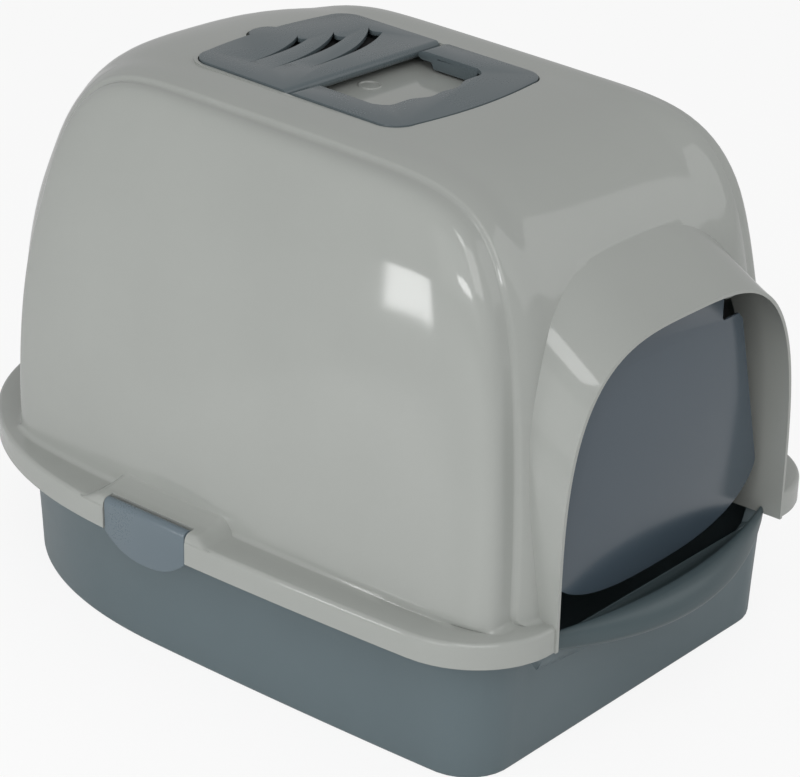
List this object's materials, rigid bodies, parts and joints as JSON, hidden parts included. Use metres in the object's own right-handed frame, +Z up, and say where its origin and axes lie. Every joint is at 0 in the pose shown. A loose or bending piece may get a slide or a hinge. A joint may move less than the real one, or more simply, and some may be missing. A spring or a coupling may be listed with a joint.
{
  "type": "hooded litter box",
  "caption": "Hooded litter box with a tray, a lift-off hood, a front porch with a swing flap, side latches, a vented filter cover and a folding carry handle.",
  "frame": {"origin": "on the tray's flat underside, below the middle of the hood's plan", "axes": "+Z up, the entrance faces -Y, +X to the right seen from the entrance's inside"},
  "size_m": [0.4, 0.579, 0.3898],
  "materials": {
    "tray_plastic": "satin slate grey",
    "hood_plastic": "glossy warm light grey",
    "latch_plastic": "satin blue grey",
    "flap_plastic": "smoky translucent sheet",
    "trim_plastic": "satin slate grey",
    "filter_foam": "black open foam"
  },
  "bodies": {
    "tray": {"tray": "tray_plastic"},
    "hood": {"hood": "hood_plastic", "filter_pad": "filter_foam"},
    "latch_left": {"latch_left": "latch_plastic"},
    "latch_right": {"latch_right": "latch_plastic"},
    "entry_flap": {"entry_flap": "flap_plastic"},
    "filter_cover": {"filter_cover": "trim_plastic"},
    "carry_handle": {"carry_handle": "trim_plastic"}
  },
  "joints": [
    {"name": "hood_lift", "type": "slide", "parent": "tray", "child": "hood", "axis": [0, 0, 1], "range_m": [0, 0.2]},
    {"name": "latch_left_hinge", "type": "hinge", "parent": "hood", "child": "latch_left", "pos_m": [-0.195, 0, 0.1143], "axis": [0, 1, 0], "range_deg": [0, 100]},
    {"name": "latch_right_hinge", "type": "hinge", "parent": "hood", "child": "latch_right", "pos_m": [0.195, 0, 0.1143], "axis": [0, -1, 0], "range_deg": [0, 100]},
    {"name": "flap_swing", "type": "hinge", "parent": "hood", "child": "entry_flap", "pos_m": [0, -0.27, 0.2773], "axis": [1, 0, 0], "range_deg": [-75, 75]},
    {"name": "cover_hinge", "type": "hinge", "parent": "hood", "child": "filter_cover", "pos_m": [0, -0.00983, 0.38141], "axis": [1, 0, 0], "range_deg": [0, 85]},
    {"name": "handle_fold", "type": "hinge", "parent": "hood", "child": "carry_handle", "pos_m": [0, -0.02332, 0.38081], "axis": [-1, 0, 0], "range_deg": [0, 85]}
  ]
}
